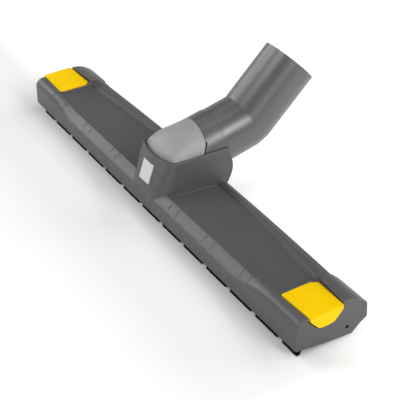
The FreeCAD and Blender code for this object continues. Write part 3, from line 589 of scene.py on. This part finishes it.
def groove(x):
    """Shallow groove across the band, as the body that cuts it."""
    line = [point for point in top_line(x)[:BAND_STEPS + 1] if point[0] > GROOVE_START]
    depth, height = line[-1]
    line[-1] = (depth - GROOVE_END, height - GROOVE_END / 2)
    low = [(depth, height - GROOVE_DEPTH) for depth, height in line]
    ends = [(depth, height + GROOVE_ROOM) for depth, height in (low[-1], low[0])]
    half = GROOVE_WIDTH / 2
    return solid("groove", [[spot(x + side, *point) for point in low + ends] for side in (-half, half)])


def toe_ring(level, inset, rear):
    """Outline of the neck's toe at one level."""
    share = (level - NECK_BASE) / (NECK_TOP - NECK_BASE)
    half = NECK_HALF - inset
    corner = blend(NECK_CORNER_BASE, NECK_CORNER_TOP, min(share, 1.0)) - inset
    sagitta = blend(NECK_SAGITTA_BASE, NECK_SAGITTA_TOP, share)
    front = NECK_FRONT + (level - NECK_FRONT_LEVEL) * NECK_LEAN + inset
    ring = [(half, rear)]
    for index in range(CORNER_STEPS + 1):
        turn = math.radians(90 * index / CORNER_STEPS)
        depth = front + sagitta + corner * (1 - math.sin(turn))
        ring.append((half - corner * (1 - math.cos(turn)), depth))
    flat = half - corner
    for index in range(1, FLAT_STEPS):
        x = flat * (1 - index / FLAT_STEPS)
        ring.append((x, front + sagitta * (x / flat) ** 2))
    mirrored = [(-x, depth) for x, depth in reversed(ring)]
    return [spot(x, depth, level) for x, depth in ring + [(0, front)] + mirrored]


def toe_solid(name, inset, low, high, rear):
    """Toe of the neck between two levels, filled."""
    levels = stations(low, high, TOE_STEPS)
    return solid(name, [toe_ring(level, inset, rear) for level in levels])


def toe_hollow(wall):
    """Room inside the toe."""
    return toe_solid("toe_hollow", wall, HOLLOW_BASE, HOLLOW_TOP, HOLLOW_REAR)


def slab(name, depths, levels):
    """Block across the neck between two depths, over a level at each of them."""
    rings = []
    for side in (-TRIM_HALF, TRIM_HALF):
        corners = list(zip(depths, levels)) + [(depths[1], FAR), (depths[0], FAR)]
        rings.append([spot(side, *corner) for corner in corners])
    return solid(name, rings)


def new_toe():
    """Hollow toe with a sloping rim, level with the head's front face where it would stand proud."""
    toe = toe_solid("toe", 0.0, BAND_FOOT - SEAT, NECK_TOP, TOE_REAR)
    worked(toe, toe_hollow(NECK_WALL), "DIFFERENCE")
    rim = [RIM_FRONT + (depth - NECK_FRONT) * RIM_SLOPE for depth in RIM_TRIM]
    worked(toe, slab("rim", RIM_TRIM, rim), "DIFFERENCE")
    worked(toe, slab("front", FRONT_TRIM, (0, 0)), "DIFFERENCE")
    return toe


def new_top():
    """Skin of the head's top, with the toe on it and the grooves in it."""
    skin = top_skin("skin_right", NECK_SIDE - LAP, TOP_END + LAP, SIDE_STEPS)
    worked(skin, top_skin("skin_left", -TOP_END - LAP, -NECK_SIDE + LAP, SIDE_STEPS), "UNION")
    middle = top_skin("skin_front", -NECK_SIDE, NECK_SIDE, FRONT_STEPS, TOE_REAR)
    worked(middle, toe_hollow(NECK_OPENING_WALL), "DIFFERENCE")
    worked(skin, middle, "UNION")
    worked(skin, new_toe(), "UNION")
    for index in GROOVE_PAIRS:
        centre = GROOVE_OFFSET + index * GROOVE_PITCH
        if abs(centre) > NECK_HALF:
            for side in (-0.5, 0.5):
                worked(skin, groove(centre + side * GROOVE_PAIR), "DIFFERENCE")
    return skin


def packed_shell():
    """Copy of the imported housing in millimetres, its loose corners joined."""
    mesh = bmesh.new()
    mesh.from_mesh(frame["nodes"]["housing"].data)
    bmesh.ops.remove_doubles(mesh, verts=mesh.verts, dist=WELD_REACH)
    bmesh.ops.scale(mesh, vec=(1 / MM, 1 / MM, 1 / MM), verts=mesh.verts)
    data = bpy.data.meshes.new("housing_shell")
    mesh.to_mesh(data)
    mesh.free()
    return placed("housing_shell", data)


def new_housing():
    """Housing with its own top and toe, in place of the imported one."""
    shell = packed_shell()
    right = (NECK_SIDE, TOP_END - SEAM)
    left = (-TOP_END + SEAM, -NECK_SIDE)
    worked(shell, top_room("room_right", *right, SIDE_STEPS), "DIFFERENCE")
    worked(shell, top_room("room_left", *left, SIDE_STEPS), "DIFFERENCE")
    worked(shell, top_room("room_front", -NECK_SIDE, NECK_SIDE, FRONT_STEPS, TOE_REAR), "DIFFERENCE")
    worked(shell, new_top(), "UNION")
    shell.data.transform(Matrix.Scale(MM, 4))
    dress(shell, materials["housing_grey"])
    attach(shell, "head")
    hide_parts("housing")


new_housing()


# Bristles

BRISTLE_PITCH = 0.00042
BRISTLE_ROWS = 8
BRISTLE_RADIUS = 0.00021
BRISTLE_ROOM = BRISTLE_RADIUS * 1.6
BRISTLE_BEND = 0.00012
BRISTLE_TAPER = 0.25
BRISTLE_RINGS = (0.0, 0.55, 1.0)
BRISTLE_SIDES = 3
THIRD_TURN = 2.0944
ROW_STAGGER = 0.4
ROW_SPAN = BRISTLE_ROWS - 0.6
TIP_LEAN = 0.0002
TIP_UNEVENNESS = 0.0003
FRONT_SPLAY = 0.0012
LARGEST_TURN = 2.0
SAME_CORNER = 1e-6


def add_filament(mesh, foot, tip, turn):
    """One bent filament: a three sided rod with a ring half way."""
    rings = []
    bend = Vector((random.uniform(-1, 1), random.uniform(-1, 1), 0)) * BRISTLE_BEND
    for share in BRISTLE_RINGS:
        middle = foot.lerp(tip, share) + bend * math.sin(math.pi * share)
        radius = BRISTLE_RADIUS * (1.0 - BRISTLE_TAPER * share)
        ring = []
        for side in range(BRISTLE_SIDES):
            angle = turn + side * THIRD_TURN
            ring.append(mesh.verts.new(middle + Vector((math.cos(angle), math.sin(angle), 0)) * radius))
        rings.append(ring)
    for low, high in zip(rings, rings[1:]):
        for side in range(BRISTLE_SIDES):
            after = (side + 1) % BRISTLE_SIDES
            mesh.faces.new((low[side], low[after], high[after], high[side]))
    mesh.faces.new(rings[-1])


def block_spans(node):
    """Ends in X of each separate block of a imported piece."""
    spans = []
    mesh = bmesh.new()
    mesh.from_mesh(frame["nodes"][node].data)
    bmesh.ops.remove_doubles(mesh, verts=mesh.verts, dist=SAME_CORNER)
    left = set(mesh.verts)
    while left:
        group = set()
        stack = [left.pop()]
        while stack:
            vertex = stack.pop()
            group.add(vertex)
            for edge in vertex.link_edges:
                other = edge.other_vert(vertex)
                if other in left:
                    left.discard(other)
                    stack.append(other)
        places = [vertex.co.x for vertex in group]
        spans.append((min(places), max(places)))
    mesh.free()
    return sorted(spans)


def inside(value, low, high):
    """Value kept clear of both ends by the bristles' room."""
    return min(max(value, low + BRISTLE_ROOM), high - BRISTLE_ROOM)


def bristles(name, node, splay=0.0):
    """Rows of filaments in place of a piece's plain blocks, their tips spread to the front."""
    low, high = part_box(node)
    mesh = bmesh.new()
    for start, end in block_spans(node):
        count = max(2, round((end - start - 2 * BRISTLE_ROOM) / BRISTLE_PITCH))
        for index in range(count + 1):
            x = start + BRISTLE_ROOM + (end - start - 2 * BRISTLE_ROOM) * index / count
            for row in range(BRISTLE_ROWS):
                share = (row + ROW_STAGGER * (index % 2)) / ROW_SPAN
                y = low.y + BRISTLE_ROOM + (high.y - low.y - 2 * BRISTLE_ROOM) * min(1.0, share)
                foot = Vector((x, y, high.z))
                lean = Vector((random.uniform(-1, 1) * TIP_LEAN, random.uniform(-1, 1) * TIP_LEAN, 0))
                tip = Vector((x, y, low.z + random.uniform(0.0, TIP_UNEVENNESS))) + lean
                tip.x = inside(tip.x, start, end)
                tip.y = inside(tip.y, low.y, high.y) - splay
                add_filament(mesh, foot, tip, random.uniform(0, LARGEST_TURN))
    data = bpy.data.meshes.new(name)
    mesh.to_mesh(data)
    mesh.free()
    data.materials.append(materials["bristle_black"])
    piece = placed(name, data)
    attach(piece, "head")
    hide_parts(node)


bristles("front_bristle_rows", "front_bristles", FRONT_SPLAY)
bristles("rear_bristle_rows", "rear_bristles")


# Stage: a white floor that glows, apart from a stretch along the head's front, where its shadow falls

FLOOR_HALF = 3.0
FLOOR_ROUGHNESS = 0.9
FLOOR_GLOSS = 0.1
FLOOR_GLOW = 0.32
GLOW_BEHIND = (0.010, 0.050)
GLOW_BESIDE = (0.215, 0.245)
GLOW_BEFORE = (-0.22, -0.06)


def floor_material():
    """White that glows behind the head, beside its near end and far in front of it."""
    material, shader = new_material("floor_white")
    shader.inputs["Base Color"].default_value = FLOOR_WHITE
    shader.inputs["Roughness"].default_value = FLOOR_ROUGHNESS
    shader.inputs["Specular IOR Level"].default_value = FLOOR_GLOSS
    shader.inputs["Emission Color"].default_value = WHITE
    place = split_place(material)
    # Painted light: this glow, set by place, lifts the head's shadows out behind it, beside its near end
    # and far before it; only the stretch along its front keeps its shadow.
    behind = ramp(material, place["Y"], 0.0, FLOOR_GLOW, *GLOW_BEHIND)
    beside = ramp(material, place["X"], 0.0, FLOOR_GLOW, *GLOW_BESIDE)
    before = ramp(material, place["Y"], FLOOR_GLOW, 0.0, *GLOW_BEFORE)
    glow = larger(material, behind, larger(material, beside, before))
    material.node_tree.links.new(glow, shader.inputs["Emission Strength"])
    return material


def new_floor():
    """Square floor under the head."""
    data = bpy.data.meshes.new("floor")
    corners = [(x * FLOOR_HALF, y * FLOOR_HALF, 0) for x, y in ((-1, -1), (1, -1), (1, 1), (-1, 1))]
    data.from_pydata(corners, [], [(0, 1, 2, 3)])
    data.materials.append(floor_material())
    floor = placed("floor", data)


new_floor()


# Lights: soft boxes around the head, each by its azimuth from the front and its elevation

STUDIO_MIDDLE = Vector((0.0, 0.06, 0.04))
BOX_DISTANCE = 2.0


def soft_box(name, azimuth, elevation, width, height, radiance):
    """Soft box that faces the head, its place and its size as seen from there in degrees."""
    turn = math.radians(azimuth)
    rise = math.radians(elevation)
    toward = Vector((math.sin(turn) * math.cos(rise), -math.cos(turn) * math.cos(rise), math.sin(rise)))
    data = bpy.data.lights.new(name, "AREA")
    data.shape = "RECTANGLE"
    data.size = 2 * BOX_DISTANCE * math.tan(math.radians(width) / 2)
    data.size_y = 2 * BOX_DISTANCE * math.tan(math.radians(height) / 2)
    data.energy = radiance * math.pi * data.size * data.size_y
    lamp = placed(name, data)
    lamp.location = STUDIO_MIDDLE + toward * BOX_DISTANCE
    lamp.rotation_mode = "QUATERNION"
    lamp.rotation_quaternion = (-toward).to_track_quat("-Z", "Y")


soft_box("box_right", 104, 32, 16, 18, 15.2)
soft_box("box_front_high", 6, 46, 26, 14, 8.0)
soft_box("box_front_left", -68, 20, 30, 18, 4.5)
soft_box("box_top", 150, 80, 24, 24, 1.5)
soft_box("box_back", 178, 42, 44, 24, 3.0)
soft_box("box_left_high", -42, 38, 22, 18, 5.6)
soft_box("box_left", -107, 8, 26, 30, 0.7)
soft_box("box_right_low", 66, 8, 12, 20, 11.0)
soft_box("box_right_front", 82, 28, 10, 16, 1.2)
soft_box("box_left_top", -100, 62, 30, 22, 0.8)
soft_box("box_back_low", 165, 14, 40, 16, 5.0)
soft_box("box_front_low", -20, 8, 30, 12, 2.2)
soft_box("box_rim", 129, 46, 8, 7, 26.0)
soft_box("box_ridge", -71, 40, 9, 7, 12.0)

world = bpy.data.worlds.new("studio")
bpy.context.scene.world = world
world.use_nodes = True
background = world.node_tree.nodes["Background"]
background.inputs["Color"].default_value = WHITE
background.inputs["Strength"].default_value = 0.0


# Camera of the photo: where it stands, where it looks and its lens

CAMERA_PLACE = Vector((0.61637, -0.32299, 0.44807))
CAMERA_AZIMUTH = math.radians(59.1)
CAMERA_ELEVATION = math.radians(32.36)
CAMERA_LENS = 97.2
CAMERA_SENSOR = 36.0
CAMERA_NEAR = 0.01
CAMERA_FAR = 50.0

camera_data = bpy.data.cameras.new("camera")
camera_data.lens = CAMERA_LENS
camera_data.sensor_width = CAMERA_SENSOR
camera_data.clip_start = CAMERA_NEAR
camera_data.clip_end = CAMERA_FAR
camera = placed("camera", camera_data)
camera.location = CAMERA_PLACE
ahead = Vector((
    -math.sin(CAMERA_AZIMUTH) * math.cos(CAMERA_ELEVATION),
    math.cos(CAMERA_AZIMUTH) * math.cos(CAMERA_ELEVATION),
    -math.sin(CAMERA_ELEVATION),
))
camera.rotation_mode = "QUATERNION"
camera.rotation_quaternion = ahead.to_track_quat("-Z", "Y")
bpy.context.scene.camera = camera
bpy.context.scene.view_settings.view_transform = "Standard"
